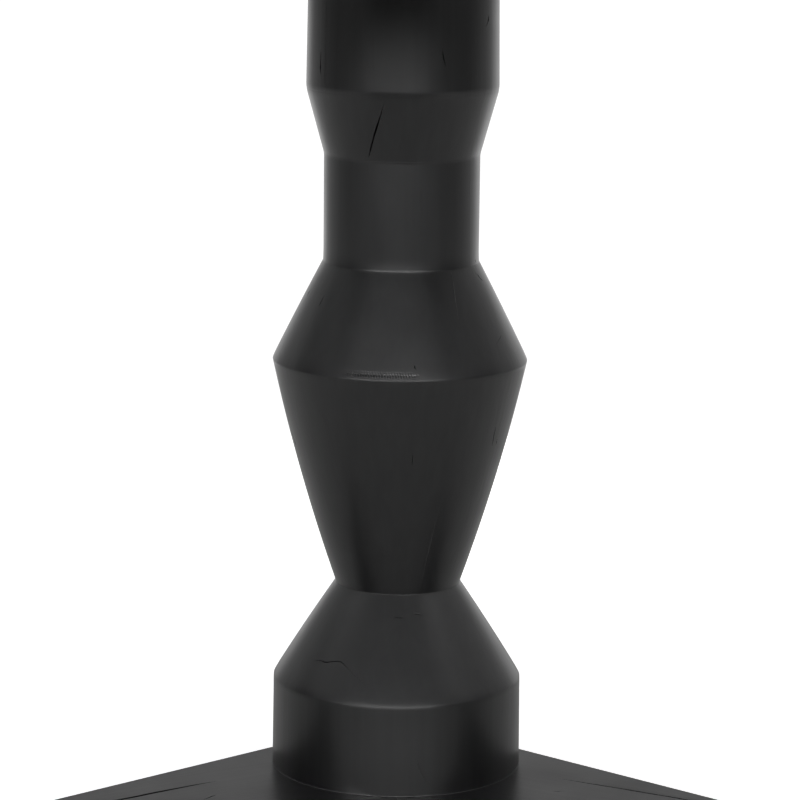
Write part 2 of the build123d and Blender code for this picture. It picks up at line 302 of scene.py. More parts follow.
# How far each way the corner at the foot of a block is softened, in millimetres.
SOFTENED = {
    "lower_cone": 0.4,
    "long_cone": 0.55,
    "upper_cone": 0.5,
    "neck": 0.5,
    "swell": 2.2,
    "head": 4.5,
}

# The tool dwells as it comes to a corner, and leaves the foot of a block a little full or a little lean: how
# far out and over what height, in millimetres.
DWELL = {"lower_cone": (-0.2, 8.0), "upper_cone": (-0.25, 9.0), "neck": (0.3, 10.0)}
DWELL_BELOW = 1 * MM  # how far below the corner that dies away

# Tool chatter just above the widest arris: the heights and bearings that it lies between, and the pitch and
# depth of its small hollows in millimetres. Its rows lean as they climb.
CHATTERED = "upper_cone"
CHATTER_HEIGHTS = (345.8, 352.0)
CHATTER_BEARINGS = (-29.6, 8.4)
CHATTER_PITCH = 2.2
CHATTER_DEPTH = 0.6
CHATTER_LEAN = 0.7  # radians for each millimetre
CHATTER_GAP = 0.35  # how much of the depth is left between its rows
CHATTER_SHARP = 1.5  # over one narrows each hollow

SAME_LEVEL = 0.01 * MM


def radius_at(node, height):
    """A CAD node's outer radius at one of its own levels."""
    far = 0.0
    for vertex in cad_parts[node].data.vertices:
        if abs(vertex.co.z - height) < SAME_LEVEL:
            far = max(far, math.hypot(vertex.co.x, vertex.co.y))
    return far


# The level of each joint, the radius there, and how each side runs: its slope, and how much steeper it starts
# and ends for its belly.
feet = [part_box(f"column_{name}")[0].z for name in BLOCKS]
FOOT_TOP = feet[0]
COLUMN_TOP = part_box("column_head")[1].z
levels = feet + [COLUMN_TOP]
radii = [radius_at(f"column_{name}", foot) for name, foot in zip(BLOCKS, feet)]
radii[0] = radius_at("column_drum", FOOT_TOP + DRUM_CHAMFER)
radii.append(radius_at("column_head", COLUMN_TOP))
bellies = [BELLY.get(name, 0) * MM for name in BLOCKS]
spans = np.diff(levels)
slopes = np.diff(radii) / spans
bends = 4 * np.array(bellies) / spans


def column_radius(height):
    """The column's radius at each height, with the corners between blocks softened."""
    radius = np.interp(height, levels, radii)
    for i, name in enumerate(BLOCKS):
        part = np.clip((height - levels[i]) / spans[i], 0, 1)
        radius = radius + 4 * bellies[i] * part * (1 - part)
        if name in SOFTENED:
            ease = SOFTENED[name] * MM
            near = np.clip(ease - np.abs(height - levels[i]), 0, None)
            turn = slopes[i] + bends[i] - slopes[i - 1] + bends[i - 1]
            radius = radius + turn * near ** 2 / (4 * ease)
        if name in DWELL:
            out, reach = DWELL[name]
            off = height - levels[i]
            away = np.where(off > 0, off / (reach * MM), -off / DWELL_BELOW)
            radius = radius + out * MM * np.clip(1 - away, 0, 1) ** 2
    return radius


def chatter(height, bearing, radius):
    """How deep the tool chatter is at each place of the skin."""
    first, last = CHATTER_HEIGHTS
    start, end = CHATTER_BEARINGS
    level = (height - FOOT_TOP) / MM
    rise = (level - first) / (last - first)
    rows = CHATTER_GAP + (1 - CHATTER_GAP) * np.cos(2 * math.pi * rise) ** 2
    window = bell(2 * rise - 1) ** 0.5 * rows
    window = window * bell((bearing - (start + end) / 2) / ((end - start) / 2)) ** 0.25
    turns = np.radians(bearing) * radius / (CHATTER_PITCH * MM)
    wave = np.cos(2 * math.pi * turns + CHATTER_LEAN * level)
    hollow = np.clip(1 + CHATTER_SHARP * (wave - 1), 0, 1)
    return CHATTER_DEPTH * MM * window * hollow


def worn_edge(index, height):
    """How far the skin stands back at the two ends of a block; the drum's foot stands out in a bead."""
    low, high = levels[index], levels[index + 1]
    back = np.clip(ARRIS - (high - height), 0, None)
    if index == 0:
        return back - BEAD_OUT * np.clip(1 - (height - low) / BEAD_HEIGHT, 0, 1) ** 2
    return back + np.clip(ARRIS - (height - low), 0, None)


# ---------------------------------------------------------------- checks in the column

# Checks in each block: which way it runs, its widest opening and its depth in millimetres, and its line as
# heights and bearings. A third number makes the check finer there. A negative depth is a raised line of
# hardened finish over an old check.
CHECKS = {
    "drum": [
        ("up", 0.5, 0.25, ((38, 7.5), (24.5, 10), (12, 13.5))),
        ("up", 0.5, -0.06, ((67, 16), (41, 15.5), (18.5, 16))),
        ("up", 0.7, 2, ((60.5, 97.5), (35.5, 99.5), (14, 97.5))),
        ("up", 0.9, 3, ((70.5, 195.5), (50.5, 197.5), (22, 194.5))),
        ("up", 0.6, 2, ((58.5, -128.5), (40.5, -127.5), (20, -129.5))),
    ],
    "lower_cone": [
        (
            "across", 0.8, 0.7,
            (
                (100.5, -51), (102.5, -46), (101.5, -42.5), (104, -37.5),
                (105, -32.5), (101.5, -28.5, 0.2), (84, -7.5, 0.12),
            ),
        ),
        (
            "across", 1.3, 0.5,
            (
                (140, -4.5), (140.5, -1), (140, 2.5), (140.5, 4, 0),
                (142.5, 12, 0), (142.5, 13.5), (141, 21),
            ),
        ),
        ("up", 0.8, 2.5, ((134, 120.5), (118, 123.5), (97.5, 121.5))),
        ("up", 0.6, 2, ((122, -143.5), (105.5, -141.5))),
    ],
    "long_cone": [
        ("up", 1.5, 3, ((287, -77), (281, -75.5), (274.5, -74))),
        ("up", 0.8, 1.2, ((298.5, 56), (290.5, 56), (281.5, 57))),
        ("up", 0.7, 1, ((286.5, 61), (281.5, 61))),
        ("up", 0.6, 0.5, ((283.5, 6), (278, 6.5), (273, 6.5))),
        ("up", 0.9, -0.16, ((241, 25.5), (202.5, 22.5), (158, 19.5))),
        ("up", 1, 3.5, ((266, 147.5), (236, 149.5), (211.5, 148.5))),
        ("up", 0.8, 3, ((323, -151.5), (304.5, -150.5), (286.5, -152.5))),
        ("up", 0.7, 2, ((208.5, -118.5), (193, -117.5))),
    ],
    "upper_cone": [
        ("up", 1, -0.35, ((426.5, 38), (422, 37.5), (406.5, 35), (387.5, 33))),
        ("up", 0.9, 1.5, ((421.5, 64.5), (417.5, 67), (414, 69.5))),
        ("up", 0.7, 0.8, ((372, 62.5), (369.5, 58.5), (367.5, 55.5))),
        ("up", 0.9, 1.5, ((404, -55), (394.5, -56))),
        ("up", 1.6, 1.6, ((404, -77), (399, -77.5))),
        ("up", 1, 0.8, ((357.5, 6), (354, 6.5))),
        ("up", 0.9, 3, ((406.5, 169.5), (385, 171.5), (367, 170.5))),
        ("up", 0.7, 2, ((395, -120.5), (379, -119.5))),
    ],
    "neck": [
        ("up", 0.8, -0.1, ((498.5, 59), (483, 59.5))),
        ("up", 1.1, 1, ((431, 70.5), (428, 70.5))),
        ("up", 0.5, -0.05, ((510, 8), (475, 7.5), (436.5, 8))),
        ("up", 0.5, 0.12, ((513, 13), (485, 13.5), (444.5, 13))),
        ("up", 0.9, 3, ((504, 134.5), (474.5, 136.5), (450.5, 134.5))),
        ("up", 0.7, 2.5, ((492.5, -132.5), (466.5, -131.5))),
    ],
    "swell": [
        ("up", 1.6, 2.6, ((563, -11.5), (552, -14.5), (537.5, -19), (518, -25))),
        ("up", 0.7, 2, ((559, 155.5), (535.5, 157.5))),
    ],
    "head": [
        ("up", 1.3, 3, ((601, -58), (592, -58), (581.5, -57.5))),
        ("up", 0.7, 0.8, ((576, -53.5), (570, -53))),
        ("up", 1, 1.2, ((631, 60.5), (626, 59.5), (622, 57))),
        ("up", 0.8, 0.9, ((606, 22.5), (599, 23.5), (592.5, 25))),
        ("up", 1.1, 0.8, ((613.5, -53), (611, -53))),
        ("up", 1.1, 4, ((651.5, 140.5), (625.5, 142.5), (595.5, 141.5))),
        ("up", 0.8, 3, ((642, -160.5), (610.5, -158.5))),
    ],
}

# Along a check that runs across the block is round it, in degrees, and to the side is up it, in metres; along
# one that runs up it is the other way about. For each: how far its line sways to the side, how far to the
# side the mesh leans with it at the least, and how far past its ends the lean dies away.
SWAY = 0.05 * MM
USUAL_RADIUS = 80 * MM
WAYS = {
    "across": (SWAY, 4 * MM, 8.0),
    "up": (math.degrees(SWAY / USUAL_RADIUS), 3.0, 14 * MM),
}
LEAN = 2.6  # how far to the side the mesh leans with a check, for each unit that its line strays
LEAN_LIMIT = 0.98  # of the way to the end of the block
STATIONS = 25  # places along a check where its line and its opening are kept
RAGGED = 0.5  # how far its opening varies
RAGGED_LIMIT = 0.3
FULLEST = 0.9  # just under one puts the widest place a little past the middle
BLUNT = 0.7  # under one makes the ends of a check, and its walls, blunter than a curve
LEAST_OPENING = 0.02 * MM
LEAST_PLACING = 0.1 * MM
PLACING_PAST_END = 0.25 * MM


class Check:
    """One check: where its middle runs, how wide and how deep it is."""

    def __init__(self, way, width, depth, line, seed, low, high):
        sway, least_lean, self.fade = WAYS[way]
        self.across = way == "across"
        self.depth = depth * MM
        self.half = width / 2 * MM
        heights = np.array([p[0] for p in line]) * MM + FOOT_TOP
        bearings = np.array([p[1] for p in line], float)
        force = np.array([p[2] if len(p) > 2 else 1.0 for p in line])
        along, side = (bearings, heights) if self.across else (heights, bearings)
        order = np.argsort(along)
        along, side, force = along[order], side[order], force[order]
        self.start, self.end = along[0], along[-1]
        self.middle = float((side.min() + side.max()) / 2)
        self.along = np.linspace(self.start, self.end, STATIONS)
        self.side = np.interp(self.along, along, side) + wander(STATIONS, seed, sway)
        self.reach = LEAN * float(np.abs(self.side - self.middle).max()) + least_lean
        if self.across:
            self.reach = min(self.reach, LEAN_LIMIT * (self.middle - low), LEAN_LIMIT * (high - self.middle))
        ragged = np.clip(wander(STATIONS, seed + 1, RAGGED), -RAGGED_LIMIT, RAGGED_LIMIT)
        self.rough = (1 + ragged) * np.interp(self.along, along, force)

    def past_end(self, along):
        return np.maximum(self.start - along, along - self.end)

    def open_at(self, along):
        """Share of the full opening: nothing at both ends, most a little past the middle."""
        part = np.clip((along - self.start) / (self.end - self.start), 0, 1)
        return np.sin(math.pi * part ** FULLEST) ** BLUNT * np.interp(along, self.along, self.rough)

    def shift(self, along):
        """How far the middle lies from its mean place, dying away past the ends."""
        keep = np.clip(1 - np.maximum(self.past_end(along), 0) / self.fade, 0, 1)
        return (np.interp(along, self.along, self.side) - self.middle) * eased(keep)

    def placing(self, along):
        """Half the spacing of the mesh lines that shape the check, which never close up altogether."""
        past = np.clip(self.past_end(along) / self.fade, 0, 1)
        return np.maximum(self.half * self.open_at(along), LEAST_PLACING) + past * PLACING_PAST_END

    def depth_at(self, height, bearing, radius):
        along = bearing if self.across else height
        middle = np.interp(along, self.along, self.side)
        off = height - middle if self.across else np.radians(bearing - middle) * radius
        opening = self.half * self.open_at(along)
        part = np.clip(1 - np.abs(off) / np.maximum(opening, LEAST_OPENING), 0, 1)
        wall = eased(part) if self.depth < 0 else part ** BLUNT
        inside = (along > self.start) & (along < self.end)
        return np.where(inside, self.depth * self.open_at(along) * wall, 0)


# ---------------------------------------------------------------- the column's mesh

# The mesh lines that shape a check, in half widths from its middle: clear of it, on its edges, on its walls
# and at its bottom.
SPAN = (-2.3, -1.25, -1.0, -0.5, 0.0, 0.5, 1.0, 1.25, 2.3)
ROOM = 2.6  # half widths kept clear of other lines
LEAST_HALF = 0.35 * MM  # the half width that counts for that, at the least
EVEN_TURN = 1.5  # degrees between the lines that run up a block
FIRST_TURN = 0.01  # degrees that those start off the seam
CHATTER_TURN = 0.2
CHATTER_LEVELS = 16
EVEN_RISE = 4 * MM  # between the lines that run round it
CHECK_RISE = 2.2 * MM
CHECK_MARGIN = 2 * MM
MARGIN_LEVELS = 4
CORNER_LEVELS = 9
PLAIN_CORNER = 1.5  # millimetres of fine mesh at a corner that isn't softened
LEAST_RISE = 0.12 * MM
LEAST_LEVELS = 12


def room_for(check):
    """How far each side of a check is kept for its own mesh lines."""
    return ROOM * max(check.half, LEAST_HALF)


def mesh_lines(even, clusters):
    """Even lines clear of every cluster, and each cluster's own, in order: a place, a check and a share."""
    clear = [place for place in even if all(abs(place - middle) > room for middle, room, _ in clusters)]
    lines = [(place, None, 0.0) for place in clear]
    lines += [(middle, check, share) for middle, _, check in clusters for share in SPAN]
    return sorted(lines, key=lambda line: (line[0], line[2]))


def upright_lines(name, checks, mean_radius):
    """The mesh lines that run up a block, in order round it."""
    even = np.arange(-180, 180, EVEN_TURN) + FIRST_TURN
    if name == CHATTERED:
        start, end = CHATTER_BEARINGS
        even = np.concatenate([even[(even < start) | (even > end)], np.arange(start, end, CHATTER_TURN)])
    clusters = [(c.middle, math.degrees(room_for(c) / mean_radius), c) for c in checks]
    return mesh_lines(np.sort(even), clusters)


def level_lines(index, up, across):
    """The mesh lines that run round a block, in order up it."""
    name = BLOCKS[index]
    above = BLOCKS[min(index + 1, len(BLOCKS) - 1)]
    low, high = levels[index], levels[index + 1]
    heights = [np.linspace(low, high, max(LEAST_LEVELS, int((high - low) / EVEN_RISE)))]
    heights.append(low + np.linspace(0, SOFTENED.get(name, PLAIN_CORNER) * MM, CORNER_LEVELS))
    heights.append(high - np.linspace(0, SOFTENED.get(above, PLAIN_CORNER) * MM, CORNER_LEVELS))
    for check in up:
        count = int(max(LEAST_LEVELS, (check.end - check.start) / CHECK_RISE)) + MARGIN_LEVELS
        heights.append(np.linspace(check.start - CHECK_MARGIN, check.end + CHECK_MARGIN, count))
    if name == CHATTERED:
        first, last = [FOOT_TOP + height * MM for height in CHATTER_HEIGHTS]
        heights.append(np.linspace(first, last, CHATTER_LEVELS))
    kept = [low]
    for height in np.sort(np.concatenate(heights)):
        if height - kept[-1] > LEAST_RISE and high - height > LEAST_RISE:
            kept.append(height)
    kept.append(high)
    clusters = [(c.middle, room_for(c), c) for c in across]
    return mesh_lines(kept, clusters)


def skin_ring(index, level, columns, checks):
    """One ring of a block's skin: it leans with the checks, and sinks into them."""
    low, high = levels[index], levels[index + 1]
    place, owner, share = level
    base = np.array([line[0] for line in columns])
    height = np.full(base.shape, place)
    if owner is not None:
        height = height + share * owner.placing(base)
    for check in checks:
        if check.across:
            height = height + check.shift(base) * bell((height - check.middle) / check.reach)
    height = np.clip(height, low, high)
    radius = column_radius(height)
    bearing = base.copy()
    for i, (_, column_owner, column_share) in enumerate(columns):
        if column_owner is not None:
            bearing[i] += column_share * math.degrees(column_owner.placing(height[i]) / radius[i])
    for check in checks:
        if not check.across:
            bearing = bearing + check.shift(height) * bell((bearing - check.middle) / check.reach)
    sunk = np.zeros(base.shape)
    for check in checks:
        sunk += check.depth_at(height, bearing, radius)
    if BLOCKS[index] == CHATTERED:
        sunk += chatter(height, bearing, radius)
    return ring_at(bearing, radius - sunk - worn_edge(index, height), height)


def hidden_outline(index):
    """The tenon or the boss's recess, the bore and the socket, from the top of the skin round to its foot."""
    low, high = levels[index], levels[index + 1]
    if index == len(BLOCKS) - 1:
        floor_level = high - BOSS_DEPTH
        top = [(BOSS_RADIUS, high), (BOSS_RADIUS, floor_level), (BORE_RADIUS, floor_level)]
    else:
        tenon_top = high + TENON_LENGTH
        top = [(TENON_RADIUS, high), (TENON_RADIUS, tenon_top), (BORE_RADIUS, tenon_top)]
    if index == 0:
        return top + [(BORE_RADIUS, low)]
    socket_top = low + SOCKET_DEPTH
    return top + [(BORE_RADIUS, socket_top), (SOCKET_RADIUS, socket_top), (SOCKET_RADIUS, low)]


def turned_block(index):
    """A turned block: a closed form whose skin follows every check with its own lines of mesh."""
    name = BLOCKS[index]
    low, high = levels[index], levels[index + 1]
    checks = [Check(*entry, 100 * index + 7 * i, low, high) for i, entry in enumerate(CHECKS[name])]
    up = [check for check in checks if not check.across]
    across = [check for check in checks if check.across]
    columns = upright_lines(name, up, (radii[index] + radii[index + 1]) / 2)
    rings = [skin_ring(index, level, columns, checks) for level in level_lines(index, up, across)]
    base = np.array([line[0] for line in columns])
    rings += [ring_at(base, radius, height) for radius, height in hidden_outline(index)]
    mesh = revolve(f"turned_{name}", rings)
    add_piece(f"turned_{name}", mesh, EBONISED_COLUMN, f"column_{name}")


for index in range(len(BLOCKS)):
    turned_block(index)


# ---------------------------------------------------------------- planed pieces

WELD = 0.005 * MM
FLAT = 0.5  # degrees; faces that turn less than this are one face
CUT_ABOVE = 0.6  # millimetres that a cutter stands out of the face it cuts
LENS_STATIONS = 24
LENS_BLUNT = 0.8  # under one makes the ends of a check blunter
FINEST_HALF = 0.04  # millimetres, at the ends of a check
FINEST_DEPTH = 0.3


def cleaned_copy(node, name, place):
    """A copy of a CAD node's mesh on axes of its own, with flat faces made whole again."""
    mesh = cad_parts[node].data.copy()
    mesh.name = name
    mesh.transform(place.inverted())
    form = bmesh.new()
    form.from_mesh(mesh)
    bmesh.ops.remove_doubles(form, verts=form.verts, dist=WELD)
    bmesh.ops.dissolve_limit(form, angle_limit=math.radians(FLAT), verts=form.verts, edges=form.edges)
    form.to_mesh(mesh)
    form.free()
    if "custom_normal" in mesh.attributes:
        mesh.attributes.remove(mesh.attributes["custom_normal"])
    return mesh


def groove(line, top, seed=0, ragged=0.0):
    """A V-shaped cutter under a level face, from stations of (x, y, half width, depth) in millimetres."""
    points = np.array([station[:2] for station in line], float)
    run = np.gradient(points, axis=0)
    run = run / np.linalg.norm(run, axis=1)[:, None]
    normal = np.stack([-run[:, 1], run[:, 0]], 1)
    if ragged:
        points = points + normal * wander(len(line), seed, ragged)[:, None]
    vertices = []
    for (x, y), (nx, ny), (_, _, half, depth) in zip(points, normal, line):
        wide = half * (depth + CUT_ABOVE) / depth
        vertices.append((x + nx * wide, y + ny * wide, CUT_ABOVE))
        vertices.append((x - nx * wide, y - ny * wide, CUT_ABOVE))
        vertices.append((x, y, -depth))
    faces = [(0, 1, 2)]
    for a in range(0, 3 * (len(line) - 1), 3):
        faces += [(a, a + 3, a + 4, a + 1), (a + 1, a + 4, a + 5, a + 2), (a + 2, a + 5, a + 3, a)]
    end = 3 * (len(line) - 1)
    faces.append((end, end + 2, end + 1))
    mesh = bpy.data.meshes.new("groove")
    mesh.from_pydata([(x * MM, y * MM, top + z * MM) for x, y, z in vertices], [], faces)
    form = bmesh.new()
    form.from_mesh(mesh)
    bmesh.ops.recalc_face_normals(form, faces=form.faces)
    form.to_mesh(mesh)
    form.free()
    return mesh


def lens(line, width, depth):
    """Stations along a line, opening from nothing to the full width and closing again."""
    line = np.array(line, float)
    lengths = np.concatenate([[0], np.cumsum(np.linalg.norm(np.diff(line, axis=0), axis=1))])
    places = np.linspace(0, lengths[-1], LENS_STATIONS)
    share = np.sin(np.linspace(0, math.pi, LENS_STATIONS)) ** LENS_BLUNT
    stations = []
    for place, part in zip(places, share):
        x, y = (np.interp(place, lengths, line[:, axis]) for axis in (0, 1))
        stations.append((x, y, max(width / 2 * part, FINEST_HALF), max(depth * part, FINEST_DEPTH)))
    return stations


def cut(mesh, cutters):
    """The mesh with every cutter taken out of it."""
    body = bpy.data.objects.new("blank", mesh)
    bpy.context.scene.collection.objects.link(body)
    tools = []
    for cutter in cutters:
        tool = bpy.data.objects.new("cutter", cutter)
        bpy.context.scene.collection.objects.link(tool)
        step = body.modifiers.new("cut", "BOOLEAN")
        step.operation = "DIFFERENCE"
        step.solver = "EXACT"
        step.object = tool
        tools.append(tool)
    bpy.context.view_layer.update()
    graph = bpy.context.evaluated_depsgraph_get()
    result = bpy.data.meshes.new_from_object(body.evaluated_get(graph))
    for thing in [body, *tools]:
        bpy.data.objects.remove(thing)
    return result


# Checks in the arms, as places along and across an arm in millimetres, then their width and depth.
ARMS = {"left": 210.0, "right": 330.0, "back": 90.0}
ARM_CHECKS = {
    "left": [
        (
            ((160, -17), (172, -17), (194, -16), (217, -14.5), (240, -12), (262, -11), (300, -10)),
            3.2, 9,
        ),
        (((178, 15), (186, 18), (194, 21.5)), 1.2, 3),
        (((262, 22), (298, 25), (341, 24)), 0.9, 4),
    ],
    "right": [
        (
            ((140, 22.5), (152, 24), (174, 24.5), (195, 25.5), (217, 26), (250, 27), (292, 26)),
            2.8, 8,
        ),
        (((154, -11), (164, -3.5)), 1.2, 3),
        (((232, -18), (275, -14), (318, -12)), 0.9, 4),
    ],
    "back": [
        (((150, -12), (214, -9), (278, -11)), 1.3, 6),
        (((240, 21), (300, 18), (352, 18.5)), 1, 5),
    ],
}
ARM_SEED = 300
ARM_RAGGED = 0.4
HALF_MITRE = 60  # degrees, each side of an arm
MITRE_REACH = 101.0
MITRE_HALF = 0.2
MITRE_DEPTH = 0.25


def mitre_line(turn):
    """The fine line where two arms meet, from the axis out to their corner."""
    way = math.radians(turn)
    run = np.linspace(0, MITRE_REACH, 3)
    stations = [(r * math.cos(way), r * math.sin(way), MITRE_HALF, MITRE_DEPTH) for r in run]
    return groove(stations, FOOT_TOP)


for side, angle in ARMS.items():
    place = Matrix.Rotation(math.radians(angle), 4, "Z")
    node = f"foot_arm_{side}"
    name = f"ebonised_arm_{side}"
    blank = cleaned_copy(node, name, place)
    cutters = [
        groove(lens(*check), FOOT_TOP, seed=ARM_SEED + i, ragged=ARM_RAGGED)
        for i, check in enumerate(ARM_CHECKS[side])
    ]
    cutters += [mitre_line(turn) for turn in (-HALF_MITRE, HALF_MITRE)]
    mesh = cut(blank, cutters)
    add_piece(name, mesh, EBONISED_ARM, node, place=place, crease=PLANED_CREASE)


# The boards of the top, each with its own run of grain and a fine line where it meets the next.
BOARDS = 9
GRAIN_ALONG = 3.0  # metres either way, along the board and down through it, that its grain is taken from
GRAIN_DOWN = 1.0
PAST_EDGE = 5  # millimetres that a cutter runs on past the rim
GLUE_LINE_HALF = 0.22
GLUE_LINE_DEPTH = 0.3
TABLE_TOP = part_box("top_board_5")[1].z


def glue_line(reach, edge, place):
    """The fine line along one edge of a board, on the board's own axes."""
    x, y, z = place.translation
    ends = (-reach, 0, reach)
    stations = [(end - x / MM, (edge - y) / MM, GLUE_LINE_HALF, GLUE_LINE_DEPTH) for end in ends]
    return groove(stations, TABLE_TOP - z)


for number in range(1, BOARDS + 1):
    node = f"top_board_{number}"
    name = f"glued_board_{number}"
    low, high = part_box(node)
    along = rng.uniform(-GRAIN_ALONG, GRAIN_ALONG)
    down = rng.uniform(-GRAIN_DOWN, GRAIN_DOWN)
    place = Matrix.Translation((along, (low.y + high.y) / 2, down))
    blank = cleaned_copy(node, name, place)
    reach = (high.x - low.x) / 2 / MM + PAST_EDGE
    glued = ((low.y, number > 1), (high.y, number < BOARDS))
    mesh = cut(blank, [glue_line(reach, edge, place) for edge, meets_another in glued if meets_another])
    add_piece(name, mesh, EBONISED_BOARD, node, place=place, crease=PLANED_CREASE)


# ---------------------------------------------------------------- levelling feet

# Millimetres, above the floor.
THREAD_PITCH = 1.25
THREAD_DEPTH = 0.68
THREAD_FLAT = 0.125  # of half a pitch, at the crest and at the root
THREAD_RUN_IN = 0.15
THREAD_RUN_OUT = 0.2
THREAD_FADE = 1.0
RINGS_TO_A_TURN = 8
FACETS = 48
STEM_RADIUS = 4.0
STEM_POINT = 0.2
STEM_CORE = 0.4  # a needle of a hole up the middle, which closes the form
DISC_RADIUS = 6.2
DISC_TOP = 3.85
DISC_EDGE = 0.3
COLLAR_LOW = 5.15
COLLAR_HIGH = 7.9
COLLAR_ACROSS = 13.0
COLLAR_CHAMFER = 0.6
COLLAR_CHAMFER_IN = 0.7
COLLAR_ROUNDING = 1.07  # the radius that its corners are turned down to, for each unit of its flats


def threaded_stem(side, angle):
    """An M8 stem with a real right-hand thread, its hexagonal collar and the disc that the pad holds."""
    low, high = (corner.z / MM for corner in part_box(f"leveller_stem_{side}"))
    turns = np.linspace(0, 1, FACETS, endpoint=False)
    bearings = 360 * turns
    hexagon = COLLAR_ACROSS / 2 / np.cos(np.radians((bearings + 30) % 60 - 30))
    corners = COLLAR_ACROSS / 2 * COLLAR_ROUNDING
    collar = np.minimum(hexagon, corners)
    collar_end = np.minimum(hexagon, corners - COLLAR_CHAMFER_IN)
    root = STEM_RADIUS - THREAD_DEPTH
    outline = [
        (STEM_CORE, low),
        (DISC_RADIUS - DISC_EDGE, low),
        (DISC_RADIUS, low + DISC_EDGE),
        (DISC_RADIUS, DISC_TOP - DISC_EDGE),
        (DISC_RADIUS - DISC_EDGE, DISC_TOP),
        (STEM_RADIUS, DISC_TOP),
        (STEM_RADIUS, COLLAR_LOW),
        (collar_end, COLLAR_LOW),
        (collar, COLLAR_LOW + COLLAR_CHAMFER),
        (collar, COLLAR_HIGH - COLLAR_CHAMFER),
        (collar_end, COLLAR_HIGH),
        (root, COLLAR_HIGH),
    ]
    thread_low = COLLAR_HIGH + THREAD_RUN_IN
    for height in np.arange(thread_low, high - THREAD_RUN_OUT, THREAD_PITCH / RINGS_TO_A_TURN):
        phase = (height / THREAD_PITCH - turns) % 1
        tooth = np.clip(np.abs(phase - 0.5) * 2 * (1 + 2 * THREAD_FLAT) - THREAD_FLAT, 0, 1)
        fade = min(1.0, (high - height) / THREAD_FADE)
        outline.append((STEM_RADIUS - THREAD_DEPTH * (1 - tooth * fade), height))
    outline += [(root - STEM_POINT, high), (STEM_CORE, high)]
    rings = [ring_at(bearings, np.broadcast_to(r, turns.shape) * MM, h * MM) for r, h in outline]
    name = f"threaded_stem_{side}"
    mesh = revolve(name, rings)
    near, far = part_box(f"leveller_pad_{side}")
    centre = Matrix.Translation(((near.x + far.x) / 2, (near.y + far.y) / 2, 0))
    place = centre @ Matrix.Rotation(math.radians(angle), 4, "Z")
    node = f"leveller_stem_{side}"
    add_piece(name, mesh, ZINC, node, f"stem_{side}", place, THREAD_CREASE)


for side, angle in ARMS.items():
    threaded_stem(side, angle)


# ---------------------------------------------------------------- carried-over parts

# The finish of each CAD node that stays as it is, by the start of its name.
FINISH_OF = {
    "foot_spline": BEECH,
    "hub_plate": POWDER_COAT,
    "hub_screws": ZINC,
    "tie_rod": ZINC,
    "rod_boss": ZINC,
    "mounting_plate_screws": ZINC,
    "mounting_plate": POWDER_COAT,
    "head_screws": ZINC,
    "stiffener_screws": ZINC,
    "stiffener": POWDER_COAT,
    "leveller_insert": BRASS,
    "leveller_pad": NYLON,
}
for name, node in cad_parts.items():
    if node.hide_render:
        continue
    finish = next(finish for start, finish in FINISH_OF.items() if name.startswith(start))
    for holder in node.material_slots:
        holder.material = finish


# ---------------------------------------------------------------- floor, light and camera

FLOOR_RADIUS = 1.6
FLOOR_SIDES = 128
FLOOR_LIFT = 0.7  # light that only the camera sees, so that the pale floor runs out into the white surround


def floor():
    """A round pale floor that runs out into the white surround."""
    finish = Finish("pale_floor", "#f4f4f3", 0.9)
    dust_at = finish.cells(40, 40, 40)
    dust = finish.add("ShaderNodeTexNoise", {"Vector": dust_at, "Scale": 1.0, "Detail": 3.0})
    finish.colour_between(finish.spread(dust, 0.0, 1.0), "#f2f2f1", "#f6f6f5")
    seen = finish.add("ShaderNodeLightPath", out="Is Camera Ray")
    finish.drive("Emission Strength", finish.spread(seen, 0.0, FLOOR_LIFT, 0.0, 1.0))
    finish.surface.inputs["Emission Color"].default_value = tone("#ffffff")
    mesh = bpy.data.meshes.new("studio_floor")
    form = bmesh.new()
    bmesh.ops.create_circle(form, cap_ends=True, segments=FLOOR_SIDES, radius=FLOOR_RADIUS)
    form.to_mesh(mesh)
    form.free()
    mesh.materials.append(finish.material)
    disc = bpy.data.objects.new("studio_floor", mesh)
    bpy.context.scene.collection.objects.link(disc)


# The studio as gloss sees it: for each way round the column, a brightness and its stops for the turn away
# from the front, then the share of it at each rise above the horizon. Turns and rises are in degrees.
RISES = (-90, -12, -1, 5, 14, 20, 30, 42, 56, 90)
LIGHTS = {
    "front": (
        10.7, ((0, 1), (30, 1), (50, 0), (180, 0)),
        (0, 0, 0.01, 0.07, 1, 1, 0.023, 0.023, 0.053, 0.053),
    ),
    "shoulders": (
        0.83, ((0, 0), (30, 0), (50, 1), (60, 1), (80, 0), (180, 0)),
        (1, 1, 0, 0, 0.53, 0.53, 0.43, 0.43, 0.75, 0.75),
    ),
    "flanks": (
        4.9, ((0, 0), (60, 0), (80, 1), (95, 1), (115, 0), (180, 0)),
        (0.14, 0.14, 0, 0, 0, 0, 0.145, 0.145, 1, 0.3),
    ),
    "rear": (
        0.84, ((0, 0), (95, 0), (115, 1), (132, 1), (150, 0), (180, 0)),
        (0.83, 0.83, 0.4, 0.4, 0.67, 0.67, 1, 1, 0.85, 0.5),
    ),
    "back": (
        1.35, ((0, 0), (132, 0), (150, 1), (180, 1)),
        (1, 1, 0.8, 0.75, 0.4, 0.4, 0, 0, 0, 0),
    ),
}
STUDIO_TURN = -6.0  # the whole studio stands a little to the left
MATT_LIGHT = 0.6
PLAIN_WHITE = 1.1  # a little over one, so that the surround prints pure white


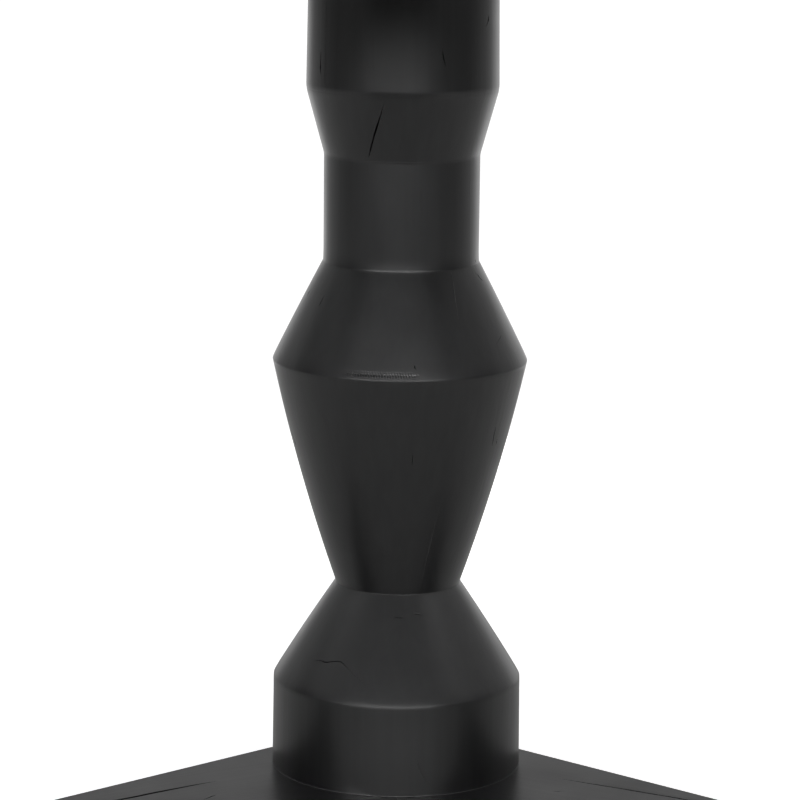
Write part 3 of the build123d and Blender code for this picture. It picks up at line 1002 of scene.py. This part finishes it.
def surround():
    """A white surround: plain for the eye and for matt light, and laid out as a studio for gloss."""
    world = bpy.data.worlds.new("studio")
    bpy.context.scene.world = world
    world.use_nodes = True
    tree = world.node_tree
    tree.nodes.clear()

    def add(kind, inputs=None, out=0, **settings):
        return add_node(tree, kind, inputs, out, **settings)

    def ramp(value, stops, low, high):
        node = add("ShaderNodeValToRGB", {"Fac": value}).node
        node.color_ramp.interpolation = "EASE"
        while len(node.color_ramp.elements) < len(stops):
            node.color_ramp.elements.new(1.0)
        for element, (place, light) in zip(node.color_ramp.elements, stops):
            element.position = (place - low) / (high - low)
            element.color = (light, light, light, 1)
        return node.outputs["Color"]

    way = add("ShaderNodeTexCoord", out="Generated")
    turned = {"Vector": way, "Angle": math.radians(-STUDIO_TURN)}
    way = add("ShaderNodeVectorRotate", turned, rotation_type="Z_AXIS")
    split = add("ShaderNodeSeparateXYZ", {0: way}).node
    aside = add("ShaderNodeMath", {0: split.outputs["X"]}, operation="ABSOLUTE")
    ahead = add("ShaderNodeMath", {0: split.outputs["Y"], 1: -1.0}, operation="MULTIPLY")
    turn = add("ShaderNodeMath", {0: aside, 1: ahead}, operation="ARCTAN2")
    turn = add("ShaderNodeMath", {0: turn, 1: math.pi}, operation="DIVIDE")
    rise = add("ShaderNodeMath", {0: split.outputs["Z"]}, operation="ARCSINE")
    rise = add("ShaderNodeMath", {0: rise, 1: 1 / math.pi, 2: 0.5}, operation="MULTIPLY_ADD")
    gloss = 0.0
    for brightness, around, shares in LIGHTS.values():
        by_turn = ramp(turn, around, 0, 180)
        by_rise = ramp(rise, tuple(zip(RISES, shares)), -90, 90)
        share = add("ShaderNodeMath", {0: by_turn, 1: by_rise}, operation="MULTIPLY")
        gloss = add("ShaderNodeMath", {0: share, 1: brightness, 2: gloss}, operation="MULTIPLY_ADD")
    ray = add("ShaderNodeLightPath").node
    level = add("ShaderNodeMix", {0: ray.outputs["Is Glossy Ray"], 2: MATT_LIGHT, 3: gloss})
    level = add("ShaderNodeMix", {0: ray.outputs["Is Camera Ray"], 2: level, 3: PLAIN_WHITE})
    shade = add("ShaderNodeBackground", {"Color": tone("#ffffff"), "Strength": level})
    add("ShaderNodeOutputWorld", {"Surface": shade})
    world.cycles.sampling_method = "NONE"


floor()
surround()

view = bpy.context.scene.view_settings
view.view_transform = "Standard"
view.look = "None"

CAMERA_DISTANCE = 2.6986
CAMERA_HEIGHT = 0.8936
CAMERA_ASIDE = 0.0004
CAMERA_PITCH = 11.156
CAMERA_ROLL = 0.62
CAMERA_ROUND = -0.6  # how far round the column from straight in front
camera = bpy.data.objects.new("camera", bpy.data.cameras.new("camera"))
camera.data.lens = 149.45
camera.data.sensor_width = 36.0
camera.data.clip_start = 0.05
camera.data.clip_end = 60.0
pitch = Matrix.Rotation(math.radians(90 - CAMERA_PITCH), 4, "X")
roll = Matrix.Rotation(math.radians(CAMERA_ROLL), 4, "Z")
stand = Matrix.Translation((CAMERA_ASIDE, -CAMERA_DISTANCE, CAMERA_HEIGHT))
camera.matrix_world = Matrix.Rotation(math.radians(CAMERA_ROUND), 4, "Z") @ stand @ pitch @ roll
bpy.context.scene.collection.objects.link(camera)
bpy.context.scene.camera = camera
